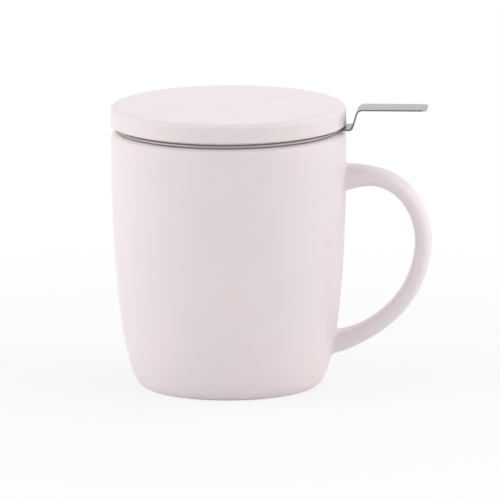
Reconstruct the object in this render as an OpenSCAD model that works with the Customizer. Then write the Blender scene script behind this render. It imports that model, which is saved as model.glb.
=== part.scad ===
// Lidded tea mug with a drop-in steel infuser.
// The ceramic mug carries the infuser on its rim, and the lid stands on the infuser's flange.
// Frame: the origin is on the mug's axis at the table. +Z is up, and +X points to the handle and the tab.

/* [Mug] */
// Outer diameter at the rim
mug_d = 88; // [84:0.5:94]
// Height of the rim's crown above the table
mug_h = 96.7; // [94:0.1:106]
// Thickness of the wall
wall_t = 4.2; // [4:0.1:4.6]
// Radius of the rim's outer edge
rim_round = 2.4; // [2:0.1:2.6]
// Width of the flat crown that carries the infuser
rim_land = 1; // [0.8:0.1:1.2]
// Length over which the side stays close to upright below the rim
side_pull_top = 36.5; // [28:0.5:42]
// Length over which the side keeps its lean above the base curve
side_pull_base = 19.5; // [14:0.5:26]
// Outer diameter where the base curve begins
base_d = 75.6; // [73:0.2:78]
// Height at which the base curve begins
base_h = 9.2; // [7.5:0.1:10]
// Lean of the side there, in degrees from upright
base_lean = 14.3; // [11:0.1:16]
// Outer diameter of the foot ring
foot_d = 64; // [60:0.2:66]
// Width of the foot ring
foot_w = 3.2; // [2.4:0.1:5]
// Depth of the recess inside the foot ring
foot_recess = 1.6; // [1:0.1:2.4]
// Thickness of the floor
floor_t = 5; // [4:0.1:6]
// Radius of the inside corner between wall and floor
cup_round = 10; // [7:0.5:13]

/* [Handle] */
// Reach of the handle's centreline beyond the mug's side
handle_out = 29; // [25:0.2:34]
// Height of the handle's furthest point
handle_mid_h = 56.2; // [50:0.2:60]
// Height of the centreline at the upper root
handle_top_h = 79; // [76:0.1:82]
// Rise of the centreline as it leaves the upper root, in degrees
handle_top_rise = 11.7; // [0:0.1:14]
// Height of the centreline at the lower root
handle_low_h = 16; // [15:0.1:22]
// Rise of the centreline as it leaves the lower root, in degrees
handle_low_rise = 11.7; // [0:0.1:20]
// Thickness of the strap, seen from the side
handle_t = 6.3; // [6:0.1:9]
// Width of the strap, across the mug
handle_w = 13; // [10:0.5:16]
// Squareness of its section, where 2 is an ellipse
handle_square = 3; // [2:0.1:4]
// Extra thickness at the upper root
root_flare_top = 3.2; // [1:0.1:5]
// Extra thickness at the lower root
root_flare_low = 1.7; // [1:0.1:4]
// Length over which the roots flare
root_flare_l = 9; // [7:0.5:14]
// Radius of the fillet between the strap and the wall
root_fillet = 1.4; // [1:0.1:3.5]

/* [Infuser] */
// Thickness of the steel sheet
sheet_t = 0.55; // [0.4:0.05:0.7]
// How far the flange's edge lies inside the mug's side
flange_inset = 2.1; // [1.8:0.1:2.4]
// Height of the bead rolled under the flange's edge
bead_h = 1.5; // [1.3:0.1:1.8]
// Width of that bead
bead_w = 1.7; // [1.5:0.1:1.9]
// Clearance between the collar and the mug's mouth, on the radius
mouth_clear = 0.8; // [0.5:0.1:1.2]
// Depth of the collar's upright part below the mug's rim
collar_h = 9.5; // [9:0.5:14]
// Height of the step that draws the collar in to the basket
step_h = 3; // [2.5:0.1:5]
// Radius of the step's two bends
step_round = 1.5; // [1:0.1:2]
// Depth of the basket below the mug's rim
basket_depth = 65; // [50:1:70]
// How far the step draws the wall in, on the radius
basket_step = 3.6; // [3:0.1:8]
// Radius of the basket's bottom corner
basket_round = 4; // [3:0.5:5.5]
// Height of the plain hoop at the basket's bottom
hoop_h = 6; // [6:0.5:9]
// Width of the lip that carries the perforated floor
hoop_lip = 3; // [2:0.1:4]
// Diameter of the holes in the screen and the floor
hole_d = 2; // [1:0.1:2.4]
// Spacing of the holes, centre to centre
hole_pitch = 5; // [4.4:0.1:8]
// Plain margin beside the first and last rows of holes
hole_edge = 1.2; // [0.8:0.1:3]

/* [Tab] */
// Width of the tab
tab_w = 13.8; // [10:0.2:16]
// Reach of the tab beyond the lid's edge
tab_out = 30.5; // [20:0.1:36]
// Gap between the lid and the foot of the tab's riser
tab_clear = 2.5; // [1:0.1:3]
// Angle of the riser to the table, in degrees
riser_angle = 74; // [60:1:85]
// How far the tab lies below the lid's top
tab_drop = 0.6; // [0:0.1:2]
// Inside radius of the bend at the riser's foot
foot_bend = 1.2; // [0.4:0.1:1.6]
// Inside radius of the bend at the riser's top
top_bend = 2.2; // [0.4:0.1:3]
// Radius of the tab's outer corners
tab_corner = 2; // [0.5:0.1:5]
// Length of the tongue let into the flange
tongue_l = 2.4; // [1.8:0.1:2.6]

/* [Lid] */
// How far the lid's edge stands out from the mug's side
lid_over = 0.1; // [-0.5:0.1:2]
// Thickness of the lid's edge
lid_t = 7.5; // [6:0.1:9]
// Height of the lid's lower edge above the flange
lid_gap = 0.7; // [0.4:0.1:1.2]
// Radius of the lid's top edge
lid_round = 2.2; // [1.5:0.1:3]
// Radius of the lid's lower edge
lid_edge = 0.5; // [0.3:0.1:0.8]
// Thickness of the lid over its recess
lid_roof = 4.6; // [3.8:0.1:5.5]
// Clearance between the locating ring and the collar, on the radius
ring_clear = 1.2; // [0.8:0.1:1.6]
// Depth of the locating ring below the flange
ring_h = 6; // [4:0.5:8]
// Thickness of the locating ring
ring_t = 3.6; // [3:0.1:5]

/* [Hidden] */

$fn = 96;

glaze = [0.93, 0.89, 0.905];
steel = [0.72, 0.72, 0.73];

// Steps along a long curve, along a short one and round a small edge
long_steps = 26;
short_steps = 12;
edge_steps = 7;

// Share of the way to a sharp corner that the handles of its rounding curve take
corner_share = 0.55;

// Mug
mug_r = mug_d / 2;
base_r = base_d / 2;
foot_r = foot_d / 2;
land_r = mug_r - rim_round;
mouth_r = mug_r - wall_t;
lip_round = wall_t - rim_round - rim_land;
cup_floor = foot_recess + floor_t;
foot_slope = 1.2;
foot_pull = 3.5;
base_pull = 1.7;

// Handle: the pulls shape its two curves, and the sink carries its ends into the wall
handle_rings = 22;
handle_sides = 24;
handle_reach = mug_r + handle_out;
top_pull = 28;
upper_mid_pull = 4.2;
lower_mid_pull = 21.4;
low_pull = 18.4;
root_depth = 1.5;
low_root_out = 0.8;
root_sink = 5;
top_root_rings = 14;
low_root_rings = 14;
fillet_share = 0.85;
fillet_tries = 12;

// Infuser
flange_r = mug_r - flange_inset;
flange_top = mug_h + bead_h;
sheet_under = flange_top - sheet_t;
collar_ro = mouth_r - mouth_clear;
collar_ri = collar_ro - sheet_t;
collar_low = mug_h - collar_h - step_h - step_round;
basket_r = collar_ro - basket_step;
basket_low = mug_h - basket_depth;
hoop_top = basket_low + hoop_h;
floor_r = basket_r - basket_round;
lip_r = floor_r - hoop_lip;
hole_row = hole_pitch * sin(60);
overcut = 1;

// Lid
lid_r = mug_r + lid_over;
lid_low = flange_top + lid_gap;
lid_top = lid_low + lid_t;
ring_r = collar_ri - ring_clear;
ring_low = flange_top - ring_h;
seat_out = flange_r - bead_h / 2;
recess_round = 3;
ring_edge = 1;
seat_pull = 1;

// Tab
riser_r = lid_r + tab_clear;
tab_mid = lid_top - tab_drop - sheet_t / 2;
foot_mid = flange_top - sheet_t / 2;
tongue_x = flange_r - tongue_l;
tab_reach = lid_r + tab_out;

// Point and direction of the cubic curve with control points p, at share s of its course
function bez(p, s) =
    pow(1 - s, 3) * p[0] + 3 * pow(1 - s, 2) * s * p[1] + 3 * (1 - s) * s * s * p[2] + pow(s, 3) * p[3];
function bez_dir(p, s) =
    let (d = pow(1 - s, 2) * (p[1] - p[0]) + 2 * (1 - s) * s * (p[2] - p[1]) + s * s * (p[3] - p[2]))
    d / norm(d);
function bez_pts(p, n) = [for (i = [0 : n]) bez(p, i / n)];

// Points of an arc about c, from angle a to angle b
function arc(c, r, a, b, n = edge_steps) =
    [for (i = [0 : n]) c + r * [cos(a + (b - a) * i / n), sin(a + (b - a) * i / n)]];

// Side of the mug from the rim's edge down to the base curve, and the base curve down to the foot
lean = [sin(base_lean), cos(base_lean)];
side = [
    [mug_r, mug_h - rim_round],
    [mug_r, mug_h - rim_round - side_pull_top],
    [base_r, base_h] + side_pull_base * lean,
    [base_r, base_h]
];
base = [
    [base_r, base_h],
    [base_r, base_h] - base_pull * lean,
    [foot_r + foot_pull, 0],
    [foot_r, 0]
];

function outside() = concat(
    arc([land_r, mug_h - rim_round], rim_round, 90, 0),
    [for (i = [1 : long_steps]) bez(side, i / long_steps)],
    [for (i = [1 : short_steps]) bez(base, i / short_steps)]
);

// The wall's inner face lies one thickness in from the side, and ends where the cup's corner begins
function inner_side() = [
    for (i = [0 : long_steps])
        let (d = bez_dir(side, i / long_steps), p = bez(side, i / long_steps) + wall_t * [d[1], -d[0]])
        if (p[1] > cup_floor + cup_round && p[1] < mug_h - rim_round) p
];

function cup_corner() =
    let (
        q = inner_side(),
        n = len(q) - 1,
        d = (q[n] - q[n - 1]) / norm(q[n] - q[n - 1]),
        sharp = q[n] + (q[n][1] - cup_floor) / -d[1] * d,
        flat = sharp - [cup_round, 0]
    )
    bez_pts([
        q[n],
        q[n] + corner_share * (sharp - q[n]),
        flat + corner_share * (sharp - flat),
        flat
    ], short_steps);

module mug_solid() {
    rotate_extrude() polygon(concat([[0, mug_h]], outside(), [[0, 0]]));
}

module mug_body() {
    corner = cup_corner();
    color(glaze)
        rotate_extrude()
            polygon(concat(
                [[0, foot_recess], [0, cup_floor]],
                [for (i = [short_steps : -1 : 1]) corner[i]],
                [for (i = [len(inner_side()) - 1 : -1 : 0]) inner_side()[i]],
                arc([mouth_r + lip_round, mug_h - lip_round], lip_round, 180, 90),
                outside(),
                [[foot_r - foot_w, 0], [foot_r - foot_w - foot_slope, foot_recess]]
            ));
}

// Handle: a strap swept along two curves that meet at its furthest point, with each end run on into the wall
handle_upper = [
    [mug_r - root_depth, handle_top_h],
    [mug_r - root_depth, handle_top_h] + top_pull * [cos(handle_top_rise), sin(handle_top_rise)],
    [handle_reach, handle_mid_h + upper_mid_pull],
    [handle_reach, handle_mid_h]
];
handle_lower = [
    [handle_reach, handle_mid_h],
    [handle_reach, handle_mid_h - lower_mid_pull],
    [base_r + low_root_out, handle_low_h] + low_pull * [cos(handle_low_rise), sin(handle_low_rise)],
    [base_r + low_root_out, handle_low_h]
];
function on_handle(i) = max(0, min(2 * handle_rings, i));
function handle_dir(i) =
    let (k = on_handle(i) / handle_rings)
    k <= 1 ? bez_dir(handle_upper, k) : bez_dir(handle_lower, k - 1);
function handle_mid(i) =
    let (k = on_handle(i) / handle_rings, past = i - on_handle(i))
    (k <= 1 ? bez(handle_upper, k) : bez(handle_lower, k - 1)) + past * root_sink * handle_dir(i);
function run_to(p, i) = i == 0 ? 0 : norm(p[i] - p[i - 1]) + run_to(p, i - 1);
function flare(l) = exp(-pow(max(0, l - root_sink) / root_flare_l, 2));
function squared(v) = sign(v) * pow(abs(v), 2 / handle_square);
function squared_normal(v) = sign(v) * pow(abs(v), 2 - 2 / handle_square);

// Swell of the fillet at a gap from the wall. The arc stops short of tangent, at fillet_share of its radius.
wall_radii = [for (p = outside()) [p[1], p[0]]];
function gap(x, y, z) = norm([x, y]) - lookup(z, wall_radii);
function swell(gap) =
    let (near = max(0, min(root_fillet, root_fillet - gap)) * fillet_share)
    root_fillet - sqrt(root_fillet * root_fillet - near * near);

// How far a point of the section at mid, with direction d, moves along its outward normal o to lie on the fillet
function moved(mid, d, u, v, o, low = 0, high = root_fillet, n = fillet_tries) =
    let (f = (low + high) / 2, q = u + f * o[0])
    n < 1 ? f :
        f < swell(gap(mid[0] - d[1] * q, v + f * o[1], mid[1] + d[0] * q))
            ? moved(mid, d, u, v, o, f, high, n - 1)
            : moved(mid, d, u, v, o, low, f, n - 1);

module handle_strap() {
    m = handle_sides;
    at = concat(
        [-1],
        [for (i = [0 : top_root_rings]) i * 2 / (top_root_rings + 1)],
        [for (i = [2 : 2 * handle_rings - 3]) i],
        [for (i = [low_root_rings : -1 : 0]) 2 * handle_rings - i * 3 / (low_root_rings + 1)],
        [2 * handle_rings + 1]
    );
    mid = [for (i = at) handle_mid(i)];
    n = len(mid) - 1;
    whole = run_to(mid, n);
    points = [
        for (i = [0 : n])
            let (
                d = handle_dir(at[i]),
                l = run_to(mid, i),
                grow = root_flare_top * flare(l) + root_flare_low * flare(whole - l),
                half_t = (handle_t + grow) / 2,
                half_w = (handle_w + grow) / 2
            )
            for (j = [0 : m - 1])
                let (
                    c = cos(360 * j / m),
                    s = sin(360 * j / m),
                    u = half_t * squared(c),
                    v = half_w * squared(s),
                    out = [squared_normal(c) / half_t, squared_normal(s) / half_w],
                    o = out / norm(out),
                    f = moved(mid[i], d, u, v, o),
                    w = u + f * o[0]
                )
                [mid[i][0] - d[1] * w, v + f * o[1], mid[i][1] + d[0] * w]
    ];
    faces = concat(
        [[for (j = [0 : m - 1]) j]],
        [for (i = [0 : n - 1]) for (j = [0 : m - 1])
            [i * m + j, (i + 1) * m + j, (i + 1) * m + (j + 1) % m, i * m + (j + 1) % m]],
        [[for (j = [m - 1 : -1 : 0]) n * m + j]]
    );
    polyhedron(points, faces, convexity = 4);
}

module mug_handle() {
    color(glaze)
        difference() {
            handle_strap();
            mug_solid();
        }
}

// One side of a bent sheet: the path's points moved by off to the left, each corner turned at its radius in r
function left(a, b) = [a[1] - b[1], b[0] - a[0]] / norm(b - a);
function turned(a, b, c, r, off) =
    let (
        u = (b - a) / norm(b - a),
        v = (c - b) / norm(c - b),
        turn = atan2(u[0] * v[1] - u[1] * v[0], u * v),
        side = sign(turn),
        centre = b - r * tan(abs(turn) / 2) * u + side * r * left(a, b),
        from = atan2(-side * left(a, b)[1], -side * left(a, b)[0])
    )
    arc(centre, r - side * off, from, from + turn);
function sheet_side(path, r, off) =
    let (n = len(path) - 1)
    concat(
        [path[0] + off * left(path[0], path[1])],
        [for (i = [1 : n - 1]) each turned(path[i - 1], path[i], path[i + 1], r[i - 1], off)],
        [path[n] + off * left(path[n - 1], path[n])]
    );

// Section of a sheet that follows a path and bends at its corners, where r is measured to its middle
module bent_sheet(path, r) {
    right = sheet_side(path, r, -sheet_t / 2);
    polygon(concat(
        sheet_side(path, r, sheet_t / 2),
        [for (i = [len(right) - 1 : -1 : 0]) right[i]]
    ));
}

// Flange with its rolled bead and the short neck that turns down into the collar
module infuser_rim() {
    bead_r = bead_h / 2;
    turn = bead_h / 2;
    color(steel)
        difference() {
            rotate_extrude()
                polygon(concat(
                    [[collar_ri, mug_h]],
                    arc([collar_ri + turn, flange_top - turn], turn, 180, 90),
                    arc([flange_r - bead_r, mug_h + bead_r], bead_r, 90, -90, 2 * edge_steps),
                    [[flange_r - bead_w, mug_h], [flange_r - bead_w, sheet_under], [collar_ro, sheet_under],
                        [collar_ro, mug_h]]
                ));
            translate([tongue_x, -tab_w / 2, sheet_under])
                cube([tongue_l + overcut, tab_w, sheet_t + overcut]);
        }
}

module infuser_collar() {
    wide = collar_ro - sheet_t / 2;
    narrow = basket_r - sheet_t / 2;
    step = mug_h - collar_h;
    color(steel)
        rotate_extrude()
            bent_sheet(
                [[wide, mug_h], [wide, step], [narrow, step - step_h], [narrow, collar_low]],
                [step_round, step_round]
            );
}

// Straight wall of the basket, with staggered rows of holes
module infuser_screen() {
    h = collar_low - hoop_top;
    span = h - 2 * hole_edge - hole_d;
    rows = floor(span / hole_row);
    around = floor(2 * PI * basket_r / hole_pitch);
    color(steel)
        translate([0, 0, hoop_top])
            difference() {
                cylinder(r = basket_r, h = h);
                translate([0, 0, -overcut]) cylinder(r = basket_r - sheet_t, h = h + 2 * overcut);
                for (i = [0 : rows])
                    for (j = [0 : around - 1])
                        rotate([0, 0, 360 * (j + (i % 2) / 2) / around])
                            translate([basket_r - sheet_t / 2, 0, hole_edge + hole_d / 2 + i * span / rows])
                                rotate([0, 90, 0])
                                    cylinder(d = hole_d, h = sheet_t + 2 * overcut, center = true);
            }
}

// Plain hoop that turns in at the basket's bottom, with the lip under the floor
module infuser_hoop() {
    wall = basket_r - sheet_t / 2;
    lip = basket_low + sheet_t / 2;
    color(steel)
        rotate_extrude()
            bent_sheet([[wall, hoop_top], [wall, lip], [lip_r, lip]], [basket_round - sheet_t / 2]);
}

// Perforated disc on the hoop's lip
module infuser_floor() {
    reach = lip_r - hole_edge - hole_d / 2;
    rows = floor(reach / hole_row);
    color(steel)
        translate([0, 0, basket_low + sheet_t])
            linear_extrude(sheet_t)
                difference() {
                    circle(r = floor_r);
                    for (i = [-rows : rows])
                        let (
                            shift = (abs(i) % 2) / 2,
                            half = sqrt(reach * reach - pow(i * hole_row, 2)) / hole_pitch
                        )
                        for (j = [ceil(-half - shift) : floor(half - shift)])
                            translate([(j + shift) * hole_pitch, i * hole_row]) circle(d = hole_d);
                }
}

// The strip's outline seen from above
module tab_plan() {
    corner_x = tab_reach - tab_corner;
    translate([tongue_x, -tab_w / 2]) square([corner_x - tongue_x, tab_w]);
    translate([corner_x - overcut, tab_corner - tab_w / 2])
        square([tab_corner + overcut, tab_w - 2 * tab_corner]);
    for (side_y = [-1, 1])
        translate([corner_x, side_y * (tab_w / 2 - tab_corner)]) circle(r = tab_corner);
}

// Strip that leaves the flange, climbs beside the lid and runs out level over the handle
module infuser_tab() {
    climb = (tab_mid - foot_mid) / tan(riser_angle);
    path = [[tongue_x, foot_mid], [riser_r, foot_mid], [riser_r + climb, tab_mid], [tab_reach, tab_mid]];
    color(steel)
        intersection() {
            translate([0, tab_w / 2 + overcut, 0])
                rotate([90, 0, 0])
                    linear_extrude(tab_w + 2 * overcut)
                        bent_sheet(path, [foot_bend + sheet_t / 2, top_bend + sheet_t / 2]);
            translate([0, 0, mug_h]) linear_extrude(lid_top - mug_h + overcut) tab_plan();
        }
}

module lid() {
    recess_r = ring_r - ring_t;
    roof = lid_top - lid_roof;
    color(glaze)
        rotate_extrude()
            polygon(concat(
                [[0, roof]],
                arc([recess_r - recess_round, roof - recess_round], recess_round, 90, 0),
                arc([recess_r + ring_edge, ring_low + ring_edge], ring_edge, 180, 270),
                arc([ring_r - ring_edge, ring_low + ring_edge], ring_edge, -90, 0),
                [[ring_r, flange_top], [seat_out, flange_top]],
                bez_pts([
                    [seat_out, flange_top],
                    [seat_out + seat_pull, flange_top],
                    [lid_r - lid_edge - seat_pull, lid_low],
                    [lid_r - lid_edge, lid_low]
                ], edge_steps),
                arc([lid_r - lid_edge, lid_low + lid_edge], lid_edge, -90, 0),
                arc([lid_r - lid_round, lid_top - lid_round], lid_round, 0, 90),
                [[0, lid_top]]
            ));
}

mug_body();
mug_handle();
infuser_rim();
infuser_collar();
infuser_screen();
infuser_hoop();
infuser_floor();
infuser_tab();
lid();
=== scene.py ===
"""Lidded tea mug with a drop-in steel infuser: looks, light and camera."""

import math
from functools import cached_property

import bmesh
import bpy
import numpy as np
from mathutils import Matrix, Vector

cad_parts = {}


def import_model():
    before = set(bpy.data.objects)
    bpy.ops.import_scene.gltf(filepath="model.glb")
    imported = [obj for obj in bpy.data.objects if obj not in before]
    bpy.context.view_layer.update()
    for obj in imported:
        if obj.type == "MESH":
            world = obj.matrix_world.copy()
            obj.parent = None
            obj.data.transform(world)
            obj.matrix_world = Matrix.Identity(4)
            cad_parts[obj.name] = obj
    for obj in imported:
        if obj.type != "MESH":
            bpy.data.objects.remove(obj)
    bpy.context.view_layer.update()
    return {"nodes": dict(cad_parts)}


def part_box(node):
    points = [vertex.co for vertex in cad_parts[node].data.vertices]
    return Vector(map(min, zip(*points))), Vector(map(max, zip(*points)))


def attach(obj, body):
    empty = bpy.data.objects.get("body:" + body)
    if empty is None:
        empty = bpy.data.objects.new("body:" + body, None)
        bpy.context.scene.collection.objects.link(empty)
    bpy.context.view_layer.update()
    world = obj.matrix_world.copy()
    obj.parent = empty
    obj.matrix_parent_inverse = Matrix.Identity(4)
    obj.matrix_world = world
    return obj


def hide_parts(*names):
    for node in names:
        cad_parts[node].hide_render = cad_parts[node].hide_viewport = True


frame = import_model()

# ---------------------------------------------------------------- sizes, in metres
MM = 0.001
MUG_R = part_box("mug_body")[1].x
MUG_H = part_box("mug_body")[1].z
LID_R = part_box("lid")[1].x
LID_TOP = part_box("lid")[1].z
RING_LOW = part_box("lid")[0].z
FLANGE_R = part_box("infuser_rim")[1].x
FLANGE_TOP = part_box("infuser_rim")[1].z
COLLAR_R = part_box("infuser_collar")[1].x
BASKET_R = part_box("infuser_screen")[1].x
SCREEN_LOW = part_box("infuser_screen")[0].z
SCREEN_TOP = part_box("infuser_screen")[1].z
FLOOR_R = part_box("infuser_floor")[1].x
FLOOR_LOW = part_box("infuser_floor")[0].z
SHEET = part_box("infuser_floor")[1].z - FLOOR_LOW

# Mug: the wall, the rim, the side's curve and the foot
WALL = 4.2 * MM
RIM_ROUND = 2.4 * MM
RIM_LAND = 1.0 * MM
SIDE_PULL_TOP = 36.5 * MM
SIDE_PULL_BASE = 19.5 * MM
BASE_R = 37.8 * MM
BASE_H = 9.2 * MM
BASE_LEAN = math.radians(14.3)
BASE_PULL = 1.7 * MM
FOOT_R = 32 * MM
FOOT_W = 3.2 * MM
FOOT_PULL = 3.5 * MM
FOOT_RECESS = 1.6 * MM
FOOT_SLOPE = 1.2 * MM
CUP_FLOOR = FOOT_RECESS + 5 * MM
CUP_ROUND = 10 * MM
CORNER_SHARE = 0.55

# The knee over the foot, and the way that the side leaves it
KNEE = np.array([BASE_R, BASE_H])
LEAN = np.array([math.sin(BASE_LEAN), math.cos(BASE_LEAN)])

# Handle: two curves that meet at its furthest point
HANDLE_REACH = MUG_R + 29 * MM
HANDLE_MID_H = 56.2 * MM
HANDLE_TOP = (MUG_R - 1.5 * MM, 79 * MM)
HANDLE_LOW = (BASE_R + 0.8 * MM, 16 * MM)
HANDLE_TOP_RISE = math.radians(11.7)
HANDLE_LOW_RISE = math.radians(11.7)
TOP_PULL, UPPER_MID_PULL = 28 * MM, 4.2 * MM
LOWER_MID_PULL, LOW_PULL = 21.4 * MM, 18.4 * MM

# The strap's section, and how square it is outside and inside: 2 is an ellipse
HANDLE_T = 6.3 * MM
HANDLE_W = 13 * MM
SQUARE_OUT, SQUARE_IN = 2.2, 3.2

# Roots: how much thicker the strap gets and over what length, its fillet, how deep it runs into the wall,
# and how far from the wall its rings lie closer together
FLARE_TOP, FLARE_LOW = 3.2 * MM, 1.7 * MM
FLARE_L = 9 * MM
ROOT_FILLET = 1.2 * MM
ROOT_SINK = 3.0 * MM
ROOT_ZONE = 6 * MM

# Lid: the disc, the locating ring and recess under it, and the seat that stands on the flange
LID_T = 7.5 * MM
LID_LOW = LID_TOP - LID_T
LID_ROUND = 2.2 * MM
LID_EDGE = 0.5 * MM
LID_ROOF = 4.6 * MM
RING_R = COLLAR_R - SHEET - 1.2 * MM
RING_T = 3.6 * MM
RING_EDGE = 1 * MM
RECESS_ROUND = 3 * MM
SEAT_OUT = FLANGE_R - 0.75 * MM
SEAT_PULL = 1 * MM

# Tab, a strip bent up past the lid's edge
TAB_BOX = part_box("infuser_tab")
TAB_W = TAB_BOX[1].y - TAB_BOX[0].y
TAB_REACH = TAB_BOX[1].x
TAB_TOP = TAB_BOX[1].z
TONGUE_X = TAB_BOX[0].x
RISER_R = LID_R + 2.5 * MM
RISER_ANGLE = math.radians(74)
FOOT_BEND, TOP_BEND = 1.2 * MM, 2.2 * MM
TAB_CORNER = 2 * MM
TAB_EDGE = 0.14 * MM

# Perforations of the screen and the floor, in rows that are offset by half a pitch
HOLE_D = 1.05 * MM
HOLE_PITCH = 2.1 * MM
ROW_GAP = HOLE_PITCH * math.sqrt(0.75)
HOLE_EDGE = 1.2 * MM
PLATE_EDGE = 2.6 * MM

# How finely the shapes are drawn: sides of round pieces, steps along curves, and tries for the fillet
LATHE_SIDES = 192
HANDLE_SIDES = 48
PLATE_SIDES = 160
HOLE_SIDES = 12
SIDE_STEPS, INSIDE_STEPS, BASE_STEPS = 60, 80, 24
CORNER_STEPS, RIM_STEPS, LIP_STEPS = 18, 14, 8
HANDLE_STEPS, ROOT_STEPS, LOOP_STEPS = 399, 36, 90
FILLET_TRIES = 24
LID_STEPS, RECESS_STEPS, EDGE_STEPS, SEAT_STEPS = 16, 12, 8, 12
BEND_STEPS, TIP_STEPS, TAB_EDGE_STEPS = 8, 10, 4

# Points closer than this are one point, in the scene's own pieces and in a CAD node
SAME_PLACE = 1e-7
NODE_WELD = 1e-6

# Edges sharper than these angles, in degrees, stay sharp
SMOOTH_ANGLE = 35
HANDLE_SMOOTH_ANGLE = 60
TAB_SMOOTH_ANGLE = 50
NODE_SMOOTH_ANGLE = 30

# How the picture is framed: 500 pixels square, from 3 m away with a long lens
PICTURE = 500
CAMERA_DISTANCE = 3.0
CAMERA_AZIMUTH = math.radians(4.5)
CAMERA_ELEVATION = math.radians(10.87)
CAMERA_ROLL = math.radians(0.38)
PIXELS_PER_M = 2664
AIM = Vector((0, 0, 0.05))
AIM_PIXEL = (229.3, 252.3)
SENSOR = 36
CLIP_END = 20


# ---------------------------------------------------------------- shapes
def bezier(points, steps):
    """Points of the cubic curve with these control points."""
    p = np.array(points, float)
    s = np.linspace(0, 1, steps + 1)[:, None]
    return (1 - s) ** 3 * p[0] + 3 * (1 - s) ** 2 * s * p[1] + 3 * (1 - s) * s * s * p[2] + s**3 * p[3]


def arc(centre, radius, start, end, steps):
    """Points of an arc from one angle to another, in degrees."""
    a = np.radians(np.linspace(start, end, steps + 1))
    return np.c_[centre[0] + radius * np.cos(a), centre[1] + radius * np.sin(a)]


def left_of(path):
    """Unit normals to the left of a path of points."""
    d = np.gradient(path, axis=0)
    d /= np.linalg.norm(d, axis=1)[:, None]
    return np.c_[-d[:, 1], d[:, 0]]


def without_repeats(path):
    """The path without points that lie on the one before."""
    keep = [path[0]]
    for p in path[1:]:
        if np.linalg.norm(p - keep[-1]) > SAME_PLACE:
            keep.append(p)
    return np.array(keep)


def mesh_object(name, verts, faces, smooth_angle=SMOOTH_ANGLE):
    """A mesh with its normals outward, smooth except across edges sharper than smooth_angle."""
    mesh = bpy.data.meshes.new(name)
    mesh.from_pydata([tuple(v) for v in verts], [], faces)
    bm = bmesh.new()
    bm.from_mesh(mesh)
    bmesh.ops.remove_doubles(bm, verts=bm.verts, dist=SAME_PLACE)
    bmesh.ops.dissolve_degenerate(bm, edges=bm.edges, dist=SAME_PLACE)
    bmesh.ops.recalc_face_normals(bm, faces=bm.faces)
    bm.to_mesh(mesh)
    bm.free()
    mesh.shade_smooth()
    mesh.set_sharp_from_angle(angle=math.radians(smooth_angle))
    piece = bpy.data.objects.new(name, mesh)
    bpy.context.scene.collection.objects.link(piece)
    return piece


def lathe(name, profile):
    """Turns a profile of (radius, height) points that starts and ends on the axis."""
    profile = without_repeats(np.asarray(profile))
    n = len(profile)
    verts = []
    for k in range(LATHE_SIDES):
        a = 2 * math.pi * k / LATHE_SIDES
        verts += [(r * math.cos(a), r * math.sin(a), z) for r, z in profile]
    faces = []
    for k in range(LATHE_SIDES):
        a, b = k * n, (k + 1) % LATHE_SIDES * n
        faces += [(a + i, b + i, b + i + 1, a + i + 1) for i in range(n - 1)]
    return mesh_object(name, verts, faces)


def sweep(name, rings, smooth_angle):
    """Joins rings of points, all with the same number of points, into a closed piece."""
    n, sides = len(rings), len(rings[0])
    verts = [v for ring in rings for v in ring]
    faces = [tuple(range(sides)), tuple((n - 1) * sides + j for j in range(sides))]
    for i in range(n - 1):
        for j in range(sides):
            a, b = i * sides + j, i * sides + (j + 1) % sides
            faces.append((a, b, b + sides, a + sides))
    return mesh_object(name, verts, faces, smooth_angle)


# ---------------------------------------------------------------- the mug
def mug_side():
    """Control points of the side's curve, from under the rim down to the knee over the foot."""
    top = MUG_H - RIM_ROUND
    return [(MUG_R, top), (MUG_R, top - SIDE_PULL_TOP), KNEE + SIDE_PULL_BASE * LEAN, KNEE]


def mug_outside():
    """The mug's outline from the crown of the rim down to the foot."""
    rim = arc((MUG_R - RIM_ROUND, MUG_H - RIM_ROUND), RIM_ROUND, 90, 0, RIM_STEPS)
    base = [KNEE, KNEE - BASE_PULL * LEAN, (FOOT_R + FOOT_PULL, 0), (FOOT_R, 0)]
    return without_repeats(np.vstack([rim, bezier(mug_side(), SIDE_STEPS), bezier(base, BASE_STEPS)]))


def mug_inside():
    """The cup's outline from the middle of its floor up to the crown of the rim."""
    side = bezier(mug_side(), INSIDE_STEPS)
    inner = side - WALL * left_of(side)
    inner = inner[(inner[:, 1] > CUP_FLOOR + CUP_ROUND) & (inner[:, 1] < MUG_H - RIM_ROUND)]
    end = inner[-1]
    down = (inner[-1] - inner[-2]) / np.linalg.norm(inner[-1] - inner[-2])
    sharp = end + (end[1] - CUP_FLOOR) / -down[1] * down
    flat = sharp - np.array([CUP_ROUND, 0])
    corner = bezier(
        [end, end + CORNER_SHARE * (sharp - end), flat + CORNER_SHARE * (sharp - flat), flat],
        CORNER_STEPS,
    )
    lip = WALL - RIM_ROUND - RIM_LAND
    crown = arc((MUG_R - WALL + lip, MUG_H - lip), lip, 180, 90, LIP_STEPS)
    return np.vstack([[(0, CUP_FLOOR)], corner[::-1], inner[::-1], crown])


def mug_body():
    """The cup, with the recess inside its foot ring."""
    foot = [(FOOT_R - FOOT_W, 0), (FOOT_R - FOOT_W - FOOT_SLOPE, FOOT_RECESS), (0, FOOT_RECESS)]
    return lathe("mug", np.vstack([mug_inside(), mug_outside(), foot]))


def wall_radius(z):
    """The mug's outer radius at each height."""
    outside = mug_outside()[::-1]
    return np.interp(z, outside[:, 1], outside[:, 0])


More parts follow.
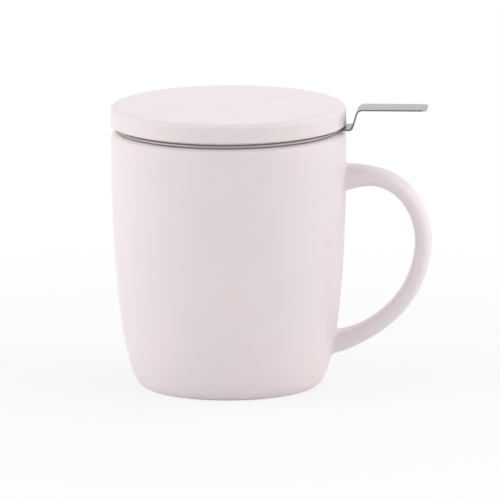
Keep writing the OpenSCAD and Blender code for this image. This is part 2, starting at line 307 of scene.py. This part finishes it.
def handle_path():
    """Centreline of the handle, from inside the body at its top root to inside the body at its low one."""
    top, low = np.array(HANDLE_TOP), np.array(HANDLE_LOW)
    reach, up = np.array([HANDLE_REACH, HANDLE_MID_H]), np.array([0, 1])
    rise_top = np.array([math.cos(HANDLE_TOP_RISE), math.sin(HANDLE_TOP_RISE)])
    rise_low = np.array([math.cos(HANDLE_LOW_RISE), math.sin(HANDLE_LOW_RISE)])
    upper = bezier([top, top + TOP_PULL * rise_top, reach + UPPER_MID_PULL * up, reach], HANDLE_STEPS)
    lower = bezier([reach, reach - LOWER_MID_PULL * up, low + LOW_PULL * rise_low, low], HANDLE_STEPS)
    return np.vstack([[top - ROOT_SINK * rise_top], upper, lower[1:], [low - ROOT_SINK * rise_low]])


def handle_stations():
    """Points along the handle's centreline, closer near its roots, and their distances from each root."""
    path = handle_path()
    along = np.r_[0, np.cumsum(np.linalg.norm(np.diff(path, axis=0), axis=1))]
    whole, root = along[-1], ROOT_SINK + ROOT_ZONE
    near = np.linspace(0, root, ROOT_STEPS + 1)
    marks = np.r_[near[:-1], np.linspace(root, whole - root, LOOP_STEPS + 1)[:-1], whole - near[::-1]]
    points = np.c_[np.interp(marks, along, path[:, 0]), np.interp(marks, along, path[:, 1])]
    return points, np.maximum(0, marks - ROOT_SINK), np.maximum(0, whole - ROOT_SINK - marks)


def root_fillet(u, v, out_u, out_v, point, normal):
    """How far each point of a section moves out for a fillet that is tangent to the wall."""
    low, high = np.zeros(len(u)), np.full(len(u), ROOT_FILLET)
    for _ in range(FILLET_TRIES):
        f = (low + high) / 2
        x = point[0] + normal[0] * (u + f * out_u)
        z = point[1] + normal[1] * (u + f * out_u)
        gap = np.hypot(x, v + f * out_v) - wall_radius(z)
        near = np.clip(ROOT_FILLET - gap, 0, ROOT_FILLET)
        wanted = ROOT_FILLET - np.sqrt(ROOT_FILLET**2 - near**2)
        low, high = np.where(f < wanted, f, low), np.where(f < wanted, high, f)
    return (low + high) / 2


def mug_handle():
    """The strap, swept along its path, rounder outside than inside, with a fillet where it meets the wall."""
    points, from_top, from_low = handle_stations()
    normals = left_of(points)
    grow = FLARE_TOP * np.exp(-((from_top / FLARE_L) ** 2)) + FLARE_LOW * np.exp(-((from_low / FLARE_L) ** 2))
    angle = 2 * math.pi * np.arange(HANDLE_SIDES) / HANDLE_SIDES
    c, s = np.cos(angle), np.sin(angle)
    square = np.where(c > 0, SQUARE_OUT, SQUARE_IN)
    share, steep = 2 / square, 2 - 2 / square
    rings = []
    for point, normal, g in zip(points, normals, grow):
        half_t, half_w = (HANDLE_T + g) / 2, (HANDLE_W + g) / 2
        u, v = half_t * np.sign(c) * np.abs(c) ** share, half_w * np.sign(s) * np.abs(s) ** share
        out_u, out_v = np.sign(c) * np.abs(c) ** steep / half_t, np.sign(s) * np.abs(s) ** steep / half_w
        length = np.hypot(out_u, out_v)
        out_u, out_v = out_u / length, out_v / length
        f = root_fillet(u, v, out_u, out_v, point, normal)
        u, y = u + f * out_u, v + f * out_v
        x, z = point[0] + normal[0] * u, point[1] + normal[1] * u
        deep = np.maximum(1, (wall_radius(z) - WALL / 2) / np.hypot(x, y))
        rings.append(list(zip(x * deep, y * deep, z)))
    return sweep("handle", rings, HANDLE_SMOOTH_ANGLE)


# ---------------------------------------------------------------- the lid
def lid():
    """The disc, with its locating ring, the recess inside it and the seat that stands on the flange."""
    recess_r = RING_R - RING_T
    roof = LID_TOP - LID_ROOF
    seat = bezier(
        [(SEAT_OUT, FLANGE_TOP), (SEAT_OUT + SEAT_PULL, FLANGE_TOP),
         (LID_R - LID_EDGE - SEAT_PULL, LID_LOW), (LID_R - LID_EDGE, LID_LOW)],
        SEAT_STEPS,
    )
    profile = np.vstack([
        [(0, roof)],
        arc((recess_r - RECESS_ROUND, roof - RECESS_ROUND), RECESS_ROUND, 90, 0, RECESS_STEPS),
        arc((recess_r + RING_EDGE, RING_LOW + RING_EDGE), RING_EDGE, 180, 270, EDGE_STEPS),
        arc((RING_R - RING_EDGE, RING_LOW + RING_EDGE), RING_EDGE, -90, 0, EDGE_STEPS),
        [(RING_R, FLANGE_TOP)],
        seat,
        arc((LID_R - LID_EDGE, LID_LOW + LID_EDGE), LID_EDGE, -90, 0, EDGE_STEPS),
        arc((LID_R - LID_ROUND, LID_TOP - LID_ROUND), LID_ROUND, 0, 90, LID_STEPS),
        [(0, LID_TOP)],
    ])
    return lathe("lid_disc", profile)


# ---------------------------------------------------------------- the infuser
def rounded_path(points, radii):
    """A path through the points, with each corner turned at its radius."""
    points = [np.array(p, float) for p in points]
    out = [points[0]]
    for a, b, c, radius in zip(points, points[1:], points[2:], radii):
        u, v = (a - b) / np.linalg.norm(a - b), (c - b) / np.linalg.norm(c - b)
        half = math.acos(np.clip(u @ v, -1, 1)) / 2
        centre = b + radius / math.sin(half) * (u + v) / np.linalg.norm(u + v)
        start = b + radius / math.tan(half) * u - centre
        end = b + radius / math.tan(half) * v - centre
        turn = math.atan2(start[0] * end[1] - start[1] * end[0], start @ end)
        for k in range(BEND_STEPS + 1):
            cos, sin = math.cos(turn * k / BEND_STEPS), math.sin(turn * k / BEND_STEPS)
            out.append(centre + np.array([start[0] * cos - start[1] * sin, start[0] * sin + start[1] * cos]))
    out.append(points[-1])
    return np.array(out)


def tab():
    """The bent strip, with softened long edges and round corners at its tip."""
    foot_mid, top_mid = FLANGE_TOP - SHEET / 2, TAB_TOP - SHEET / 2
    climb = (top_mid - foot_mid) / math.tan(RISER_ANGLE)
    tip_x = TAB_REACH - TAB_CORNER
    path = rounded_path(
        [(TONGUE_X, foot_mid), (RISER_R, foot_mid), (RISER_R + climb, top_mid), (tip_x, top_mid)],
        (FOOT_BEND + SHEET / 2, TOP_BEND + SHEET / 2),
    )
    turn = np.radians(np.linspace(0, 90, TIP_STEPS + 1))[1:]
    path = np.vstack([path, np.c_[tip_x + TAB_CORNER * np.sin(turn), np.full(TIP_STEPS, top_mid)]])
    narrow = np.r_[np.zeros(len(path) - TIP_STEPS), TAB_CORNER * (1 - np.cos(turn))]
    a = np.radians(np.linspace(0, 90, TAB_EDGE_STEPS + 1))
    round_h, round_w = TAB_EDGE * np.sin(a), TAB_EDGE * np.cos(a)
    rings = []
    for p, q, cut in zip(path, left_of(path), narrow):
        h, w = SHEET / 2 - TAB_EDGE + round_h, TAB_W / 2 - cut - TAB_EDGE + round_w
        h = np.r_[h, h[::-1], -h, -h[::-1]]
        w = np.r_[w, -w[::-1], -w, w[::-1]]
        rings.append([(p[0] + q[0] * i, j, p[1] + q[1] * i) for i, j in zip(h, w)])
    return sweep("lift_tab", rings, TAB_SMOOTH_ANGLE)


def screen_tiles(around, rows):
    """Tiles of sheet with a hole in each, wrapped round the basket, as vertices and faces.

    Each corner of a hole is joined to a point on the tile's edge, and triangles fill the tile's corners."""
    tile_u, tile_v = 2 * math.pi / around, (SCREEN_TOP - SCREEN_LOW - 2 * HOLE_EDGE) / rows
    half = (tile_u / 2, tile_v / 2)
    edge = np.array([(1, 0.5), (0.5, 1), (-0.5, 1), (-1, 0.5), (-1, -0.5), (-0.5, -1), (0.5, -1), (1, -0.5)])
    corner = np.array([(1, 1), (-1, 1), (-1, -1), (1, -1)])
    sides = len(edge)
    angle = 2 * math.pi * (np.arange(sides) + 0.5) / sides
    hole = np.c_[HOLE_D / 2 * np.cos(angle) / BASKET_R, HOLE_D / 2 * np.sin(angle)]
    shape = np.vstack([hole, edge * half, corner * half])
    count = len(shape)
    verts, faces = [], []
    for row in range(rows):
        for k in range(around):
            uv = shape + ((k + row % 2 / 2) * tile_u, SCREEN_LOW + HOLE_EDGE + (row + 0.5) * tile_v)
            o = len(verts)
            for radius in (BASKET_R, BASKET_R - SHEET):
                verts += [(radius * math.cos(u), radius * math.sin(u), v) for u, v in uv]
            back = o + count
            for i in range(sides):
                j = (i + 1) % sides
                faces.append((o + i, o + sides + i, o + sides + j, o + j))
                faces.append((back + i, back + j, back + sides + j, back + sides + i))
                faces.append((o + i, o + j, back + j, back + i))
            for m in range(len(corner)):
                a = sides + 2 * m
                faces.append((o + a, o + 2 * sides + m, o + a + 1))
                faces.append((back + a, back + a + 1, back + 2 * sides + m))
    return verts, faces


def band(low, high, around):
    """A plain band of the basket's sheet, as vertices and faces."""
    inner = BASKET_R - SHEET
    profile = [(BASKET_R, low), (BASKET_R, high), (inner, high), (inner, low)]
    verts, faces = [], []
    for k in range(around):
        a = 2 * math.pi * k / around
        verts += [(r * math.cos(a), r * math.sin(a), z) for r, z in profile]
        p, q = 4 * k, (k + 1) % around * 4
        faces += [(p + i, q + i, q + (i + 1) % 4, p + (i + 1) % 4) for i in range(4)]
    return verts, faces


def screen():
    """The basket's upright wall with its perforations, between two plain bands."""
    around = int(2 * math.pi * BASKET_R / HOLE_PITCH)
    rows = int((SCREEN_TOP - SCREEN_LOW - 2 * HOLE_EDGE) / ROW_GAP)
    verts, faces = screen_tiles(around, rows)
    for low, high in ((SCREEN_LOW, SCREEN_LOW + HOLE_EDGE), (SCREEN_TOP - HOLE_EDGE, SCREEN_TOP)):
        more, rims = band(low, high, 4 * around)
        faces += [tuple(i + len(verts) for i in face) for face in rims]
        verts += more
    return mesh_object("screen", verts, faces)


def floor_plate():
    """The basket's floor: a disc with holes on a triangular grid."""
    curve = bpy.data.curves.new("plate", "CURVE")
    curve.dimensions = "2D"
    curve.fill_mode = "BOTH"
    curve.extrude = SHEET / 2

    def ring(x, y, radius, sides):
        spline = curve.splines.new("POLY")
        spline.points.add(sides - 1)
        for k, point in enumerate(spline.points):
            a = 2 * math.pi * k / sides
            point.co = (x + radius * math.cos(a), y + radius * math.sin(a), 0, 1)
        spline.use_cyclic_u = True

    ring(0, 0, FLOOR_R, PLATE_SIDES)
    reach = FLOOR_R - PLATE_EDGE
    for row in range(-int(reach / ROW_GAP), int(reach / ROW_GAP) + 1):
        for col in range(-int(reach / HOLE_PITCH) - 1, int(reach / HOLE_PITCH) + 2):
            x, y = (col + row % 2 / 2) * HOLE_PITCH, row * ROW_GAP
            if math.hypot(x, y) < reach:
                ring(x, y, HOLE_D / 2, HOLE_SIDES)
    drawn = bpy.data.objects.new("plate", curve)
    bpy.context.scene.collection.objects.link(drawn)
    flat = bpy.data.meshes.new_from_object(drawn.evaluated_get(bpy.context.evaluated_depsgraph_get()))
    verts = [(v.co.x, v.co.y, v.co.z + FLOOR_LOW + SHEET / 2) for v in flat.vertices]
    faces = [tuple(p.vertices) for p in flat.polygons]
    bpy.data.objects.remove(drawn)
    bpy.data.meshes.remove(flat)
    return mesh_object("plate", verts, faces)


# ---------------------------------------------------------------- materials
class Tree:
    """The nodes of a material or of the world, made one call at a time."""

    def __init__(self, owner, shader="Principled BSDF"):
        owner.use_nodes = True
        self.owner = owner
        self.nodes, self.links = owner.node_tree.nodes, owner.node_tree.links
        self.shader = self.nodes[shader]

    @cached_property
    def place(self):
        """A point's place in the frame of its object."""
        return self.nodes.new("ShaderNodeTexCoord").outputs["Object"]

    def add(self, kind, **values):
        """A node, with its properties as _name, its inputs as i0, i1 and so on or by name, set or linked."""
        node = self.nodes.new(kind)
        for key, value in values.items():
            numbered = key[0] == "i" and key[1:].isdigit()
            if key.startswith("_"):
                setattr(node, key[1:], value)
            else:
                self.put(node.inputs[int(key[1:]) if numbered else key], value)
        return node

    def put(self, socket, value):
        """Links a socket to another one, or sets its value."""
        if isinstance(value, bpy.types.NodeSocket):
            self.links.new(value, socket)
        else:
            socket.default_value = value

    def set(self, **values):
        """Sets or links inputs of the shader, with _ for a space in their names."""
        for key, value in values.items():
            self.put(self.shader.inputs[key.replace("_", " ")], value)

    def noise(self, kind, place=None):
        """Noise between 0 and 1, of a kind that gives its waves a metre and its finer layers."""
        scale, detail = kind
        node = self.add("ShaderNodeTexNoise", Scale=scale, Detail=detail, Roughness=0.5)
        self.links.new(place or self.place, node.inputs["Vector"])
        return node.outputs["Fac"]

    def to_range(self, value, low, high, new_low, new_high):
        """Takes low to new_low and high to new_high, and goes no further."""
        node = self.add("ShaderNodeMapRange", _clamp=True, i0=value, i1=low, i2=high, i3=new_low, i4=new_high)
        return node.outputs[0]

    def stretched(self, noise, new_low=0, new_high=1):
        """Takes the middle of a noise's range to the whole of a new one."""
        return self.to_range(noise, NOISE_LOW, NOISE_HIGH, new_low, new_high)

    def math(self, operation, a, b=0.0):
        """A sum, product or other function of one or two numbers."""
        return self.add("ShaderNodeMath", _operation=operation, i0=a, i1=b).outputs[0]

    def mix(self, share, a, b):
        """Colour a, with a share of colour b. The node's colours are its inputs 6 and 7 and its output 2."""
        return self.add("ShaderNodeMix", _data_type="RGBA", i0=share, i6=a, i7=b).outputs[2]

    def bump(self, height, strength, distance, under=None):
        """A normal that follows a height, on top of the bumps under it."""
        node = self.add("ShaderNodeBump", Strength=strength, Distance=distance, Height=height)
        if under is not None:
            self.links.new(under, node.inputs["Normal"])
        return node.outputs["Normal"]

    def axes(self):
        """X, Y and Z of a point's place."""
        return self.add("ShaderNodeSeparateXYZ", Vector=self.place).outputs

    def radius(self):
        """Distance from the object's axis."""
        x, y, _ = self.axes()
        return self.math("SQRT", self.math("ADD", self.math("MULTIPLY", x, x), self.math("MULTIPLY", y, y)))

    def seen(self):
        """1 for rays that look, straight or by reflection, and 0 for rays that gather light for a surface."""
        ray = self.add("ShaderNodeLightPath").outputs
        mirrored = self.math("MAXIMUM", ray["Is Glossy Ray"], ray["Is Transmission Ray"])
        return self.math("MAXIMUM", ray["Is Camera Ray"], mirrored)


def linear(red, green, blue):
    """A colour written as in an 8-bit picture, for a shader."""
    def one(c):
        c /= 255
        return c / 12.92 if c <= 0.04045 else ((c + 0.055) / 1.055) ** 2.4
    return (one(red), one(green), one(blue), 1)


WHITE = (1, 1, 1, 1)
GLAZE_COOL = linear(237, 226, 231)
GLAZE_WARM = linear(241, 228, 229)
GLAZE_SPECK = linear(214, 203, 205)
# Bare clay, which on the lid's seat is also painted shade for the gap under the lid
CLAY_DARK = linear(205, 194, 182)
CLAY_PALE = linear(226, 218, 208)
STEEL_DARK = linear(158, 155, 160)
STEEL_PALE = linear(190, 187, 192)
# The basket's steel: a paler copy of the rim's, nearer real steel's brightness, and partly painted light that
# lifts the shade inside the basket and under the lid
BASKET_DARK = linear(186, 183, 187)
BASKET_PALE = linear(214, 211, 215)
STEEL_WARM = linear(172, 163, 159)
# The tab's cut edges: partly the duller sheared steel, partly a painted dark reflection
STEEL_CUT_AND_REFLECTION = linear(116, 112, 115)

# Noises: their waves a metre, and their finer layers
CLOUDS, SPECKS, SHEEN = (38, 4), (1900, 1), (120, 3)
PEEL, WAVES, RAGS = (900, 2), (70, 2), (600, 3)
CLAY_GRAIN = (2500, 4)
STEEL_GRAIN, STAINS = (9000, 2), (90, 4)

# The middle of a noise's range, where most of it lies
NOISE_LOW, NOISE_HIGH = 0.3, 0.7

# Specks and stains: where in their noise they begin and are full, and their greatest share of the colour
SPECK_FROM, SPECK_FULL, SPECK_SHARE = 0.74, 0.80, 0.5
STAIN_FROM, STAIN_FULL, STAIN_SHARE = 0.35, 0.75, 0.12

# Depth of the bumps, and how strongly they show
PEEL_DEPTH, WAVE_DEPTH, GLAZE_BUMP = 0.1 * MM, 0.6 * MM, 0.10
GRAIN_DEPTH, STEEL_BUMP = 0.08 * MM, 0.22

# Roughness: its range, or its value, or what it adds
GLAZE_ROUGH, STEEL_ROUGH = (0.37, 0.47), (0.24, 0.40)
CLAY_ROUGH, CUT_ROUGH = 0.85, 0.5
STAIN_ROUGH = 0.05

# Where in the noise each glazed piece lies, so that their clouding differs
MUG_SHIFT, LID_SHIFT = (0, 0, 0), (0.37, 0.259, 0)

# Where the clay is bare: from one height to another, outside a radius. That is under the foot ring, and
# on the lid's seat outside its locating ring, where the darker bare clay is also painted shade in the gap
# between the lid and the flange. The glaze ends there in a ragged, slightly blurred line
MUG_BARE = (-1 * MM, 0, 0)
LID_BARE_AND_SHADE = (FLANGE_TOP - 0.3 * MM, LID_LOW + 0.1 * MM, RING_R - RING_T / 2)
LINE_RAGS, LINE_BLUR = 0.5 * MM, 0.15 * MM

# How far the steel's grain is drawn out: metres a radian round the axis, and a share along the strip
TURNED_STRETCH, STRIP_STRETCH = 1.2 * MM, 0.03

# The tab's cut edges darken from this far inside them, and are dark from this far: partly the duller sheared
# edge, partly a painted dark reflection along the strip's long edges
CUT_AND_REFLECTION_FROM, CUT_AND_REFLECTION_FULL = 0.10 * MM, 0.04 * MM


def glaze(name, shift, bare_and_shade_low, bare_and_shade_high, bare_and_shade_from):
    """Satin blush-white glaze, softly clouded, with a fine orange peel, and bare clay between two heights; on
    the lid's seat the darker bare clay is also painted shade for the gap under the lid.
    """
    t = Tree(bpy.data.materials.new(name))
    moved = t.add("ShaderNodeVectorMath", _operation="ADD", i0=t.place, i1=shift).outputs[0]
    colour = t.mix(t.stretched(t.noise(CLOUDS, moved)), GLAZE_COOL, GLAZE_WARM)
    specks = t.to_range(t.noise(SPECKS, moved), SPECK_FROM, SPECK_FULL, 0, SPECK_SHARE)
    colour = t.mix(specks, colour, GLAZE_SPECK)
    rough = t.stretched(t.noise(SHEEN, moved), *GLAZE_ROUGH)
    peel = t.bump(t.noise(PEEL, moved), GLAZE_BUMP, PEEL_DEPTH)
    waves = t.bump(t.noise(WAVES, moved), GLAZE_BUMP, WAVE_DEPTH, peel)
    # Bare clay under the foot; on the lid's seat the same darker clay is also painted shade, darkening the
    # gap between the lid and the flange
    ragged = t.math("ADD", t.axes()[2], t.math("MULTIPLY", t.noise(RAGS), LINE_RAGS))
    line = bare_and_shade_high + LINE_RAGS
    bare_and_shade = t.to_range(ragged, line, line + LINE_BLUR, 1, 0)
    bare_and_shade = t.math("MULTIPLY", bare_and_shade, t.math("GREATER_THAN", t.axes()[2], bare_and_shade_low))
    bare_and_shade = t.math("MULTIPLY", bare_and_shade, t.math("GREATER_THAN", t.radius(), bare_and_shade_from))
    colour = t.mix(bare_and_shade, colour, t.mix(t.noise(CLAY_GRAIN), CLAY_DARK, CLAY_PALE))
    rough = t.math("MAXIMUM", rough, t.math("MULTIPLY", bare_and_shade, CLAY_ROUGH))
    t.set(Base_Color=colour, Roughness=rough, Normal=waves)
    t.set(IOR=1.5, Coat_Weight=0.25, Coat_Roughness=0.28)
    return t.owner


def steel(name, dark, pale, turned=True):
    """Brushed stainless steel, its grain round the axis or, on the tab, along it to dark cut edges, partly
    duller sheared steel and partly a painted dark reflection.
    """
    t = Tree(bpy.data.materials.new(name))
    x, y, z = t.axes()
    if turned:
        along, across = t.math("MULTIPLY", t.math("ARCTAN2", y, x), TURNED_STRETCH), t.radius()
    else:
        along, across = t.math("MULTIPLY", x, STRIP_STRETCH), y
    grain = t.noise(STEEL_GRAIN, t.add("ShaderNodeCombineXYZ", i0=along, i1=across, i2=z).outputs[0])
    stains = t.to_range(t.noise(STAINS), STAIN_FROM, STAIN_FULL, 0, 1)
    colour = t.mix(t.stretched(grain), dark, pale)
    colour = t.mix(t.math("MULTIPLY", stains, STAIN_SHARE), colour, STEEL_WARM)
    rough = t.math("ADD", t.stretched(grain, *STEEL_ROUGH), t.math("MULTIPLY", stains, STAIN_ROUGH))
    if not turned:
        # Dark long edges of the strip: partly the duller sheared edge, partly a painted dark reflection
        cut = t.to_range(t.math("ABSOLUTE", y), TAB_W / 2 - CUT_AND_REFLECTION_FROM, TAB_W / 2 - CUT_AND_REFLECTION_FULL, 0, 1)
        colour = t.mix(cut, colour, STEEL_CUT_AND_REFLECTION)
        rough = t.math("MAXIMUM", rough, t.math("MULTIPLY", cut, CUT_ROUGH))
    t.set(Base_Color=colour, Roughness=rough, Normal=t.bump(grain, STEEL_BUMP, GRAIN_DEPTH))
    t.set(Metallic=1, Anisotropic=0.5)
    return t.owner


def dress_node(node, material):
    """Smooths a CAD node's meeting faces and gives it a material."""
    piece = frame["nodes"][node]
    piece.modifiers.new("weld", "WELD").merge_threshold = NODE_WELD
    split = piece.modifiers.new("edges", "EDGE_SPLIT")
    split.split_angle = math.radians(NODE_SMOOTH_ANGLE)
    piece.data.shade_smooth()
    piece.data.materials.clear()
    piece.data.materials.append(material)


def dress(piece, node, body, material):
    """Puts a piece in the place of a CAD node."""
    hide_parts(node)
    piece.data.materials.append(material)
    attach(piece, body)


# ---------------------------------------------------------------- light, camera and stage
# How bright the sky makes surfaces, where what is seen of it is 1
SKY_LEVEL = 0.225

# The table: half its width, its colour, how much of its shadow shows, and where it fades to the backdrop
TABLE_HALF = 3.0
TABLE_COLOUR = (0.84, 0.84, 0.84, 1)
SHADOW_SHARE = 0.22
FADE_FROM, FADE_TO = 0.05, 0.30

# Lamps: name, place, size, and how bright each alone makes a white card beside the mug
ROOM_LAMPS = (
    ("left_box", (-1.05, -0.37, 0.62), (1.9, 1.0), 0.83),
    ("right_box", (1.05, -0.16, 0.62), (1.9, 1.0), 0.83),
    ("back_box", (0.35, 0.85, 0.90), (1.4, 0.7), 0.19),
    ("top_box", (0.0, 0.10, 1.20), (0.9, 0.9), 0.11),
)
STEEL_LAMPS = (
    ("steel_left_box", (-1.1, -0.30, 0.40), (1.5, 1.5), 0.35),
    ("steel_right_box", (1.1, -0.20, 0.40), (1.5, 1.5), 0.32),
    ("steel_top_box", (0.0, 0.10, 1.20), (0.9, 0.9), 0.29),
)


def camera():
    """A long lens at the picture's angle, shifted so that AIM falls on AIM_PIXEL."""
    data = bpy.data.cameras.new("camera")
    data.sensor_width = SENSOR
    data.lens = PIXELS_PER_M * CAMERA_DISTANCE * SENSOR / PICTURE
    data.shift_x = (PICTURE / 2 - AIM_PIXEL[0]) / PICTURE
    data.shift_y = (AIM_PIXEL[1] - PICTURE / 2) / PICTURE
    data.clip_end = CLIP_END
    cam = bpy.data.objects.new("camera", data)
    bpy.context.scene.collection.objects.link(cam)
    back = Vector((
        math.sin(CAMERA_AZIMUTH) * math.cos(CAMERA_ELEVATION),
        -math.cos(CAMERA_AZIMUTH) * math.cos(CAMERA_ELEVATION),
        math.sin(CAMERA_ELEVATION),
    ))
    roll = Matrix.Rotation(-CAMERA_ROLL, 3, "Z").to_quaternion()
    cam.rotation_mode = "QUATERNION"
    cam.rotation_quaternion = (-back).to_track_quat("-Z", "Y") @ roll
    cam.location = AIM + back * CAMERA_DISTANCE
    bpy.context.scene.camera = cam


def soft_box(name, place, size, level, mirrored_by=None):
    """A lamp that faces the mug, and lights only the pieces that mirror it, or all if none does.

    The pale glaze shows no lamp's reflection, so that no side of it clips; the steel has lamps of its own."""
    lamp = bpy.data.lights.new(name, "AREA")
    lamp.shape = "RECTANGLE"
    lamp.size, lamp.size_y = size
    box = bpy.data.objects.new(name, lamp)
    bpy.context.scene.collection.objects.link(box)
    box.visible_camera = False
    box.visible_glossy = mirrored_by is not None
    if mirrored_by is not None:
        lit = bpy.data.collections.new(name)
        for piece in mirrored_by:
            lit.objects.link(piece)
        box.light_linking.receiver_collection = lit
    box.location = Vector(place)
    way = Vector(place) - AIM
    lamp.energy = level * math.pi**2 * way.length_squared
    box.rotation_mode = "QUATERNION"
    box.rotation_quaternion = way.to_track_quat("Z", "Y")


def world():
    """Even daylight for surfaces, and white for what the camera and reflections see."""
    sky = bpy.data.worlds.new("studio")
    bpy.context.scene.world = sky
    t = Tree(sky, "Background")
    t.set(Color=WHITE, Strength=t.to_range(t.seen(), 0, 1, SKY_LEVEL, 1))


def floor():
    """A pale table that fades to the white backdrop, and keeps the mug's shadow."""
    mesh = bpy.data.meshes.new("table")
    corners = [(x * TABLE_HALF, y * TABLE_HALF, 0) for x, y in ((-1, -1), (1, -1), (1, 1), (-1, 1))]
    mesh.from_pydata(corners, [], [(0, 1, 2, 3)])
    table = bpy.data.objects.new("table", mesh)
    bpy.context.scene.collection.objects.link(table)
    t = Tree(bpy.data.materials.new("table"))
    t.set(Base_Color=TABLE_COLOUR, Roughness=0.9, Specular_IOR_Level=0.1)
    away = t.add("ShaderNodeVectorMath", _operation="LENGTH", i0=t.place).outputs["Value"]
    share = t.math("MULTIPLY", t.seen(), t.to_range(away, FADE_FROM, FADE_TO, 1 - SHADOW_SHARE, 1))
    white = t.add("ShaderNodeEmission", Color=WHITE, Strength=1.0)
    blend = t.add("ShaderNodeMixShader", i0=share)
    t.links.new(t.shader.outputs[0], blend.inputs[1])
    t.links.new(white.outputs[0], blend.inputs[2])
    t.links.new(blend.outputs[0], t.nodes["Material Output"].inputs["Surface"])
    mesh.materials.append(t.owner)


# ---------------------------------------------------------------- the scene
bpy.context.scene.view_settings.view_transform = "Standard"
camera()
world()
for lamp in ROOM_LAMPS:
    soft_box(*lamp)
floor()

mug_material = glaze("mug_glaze_satin", MUG_SHIFT, *MUG_BARE)
lid_material = glaze("lid_glaze_satin", LID_SHIFT, *LID_BARE_AND_SHADE)
rim_steel = steel("steel_rim", STEEL_DARK, STEEL_PALE)
# Paler steel for the basket, collar and hoop: partly painted light lifting their shade
basket_steel = steel("steel_basket", BASKET_DARK, BASKET_PALE)
tab_steel = steel("steel_strip", STEEL_DARK, STEEL_PALE, turned=False)

dress(mug_body(), "mug_body", "mug", mug_material)
dress(mug_handle(), "mug_handle", "mug", mug_material)
dress(lid(), "lid", "lid", lid_material)
steel_pieces = []
for piece, node, material in (
    (screen(), "infuser_screen", basket_steel),
    (floor_plate(), "infuser_floor", basket_steel),
    (tab(), "infuser_tab", tab_steel),
):
    dress(piece, node, "infuser", material)
    steel_pieces.append(piece)
for node, material in (
    ("infuser_rim", rim_steel),
    ("infuser_collar", basket_steel),
    ("infuser_hoop", basket_steel),
):
    dress_node(node, material)
    steel_pieces.append(frame["nodes"][node])
for lamp in STEEL_LAMPS:
    soft_box(*lamp, steel_pieces)
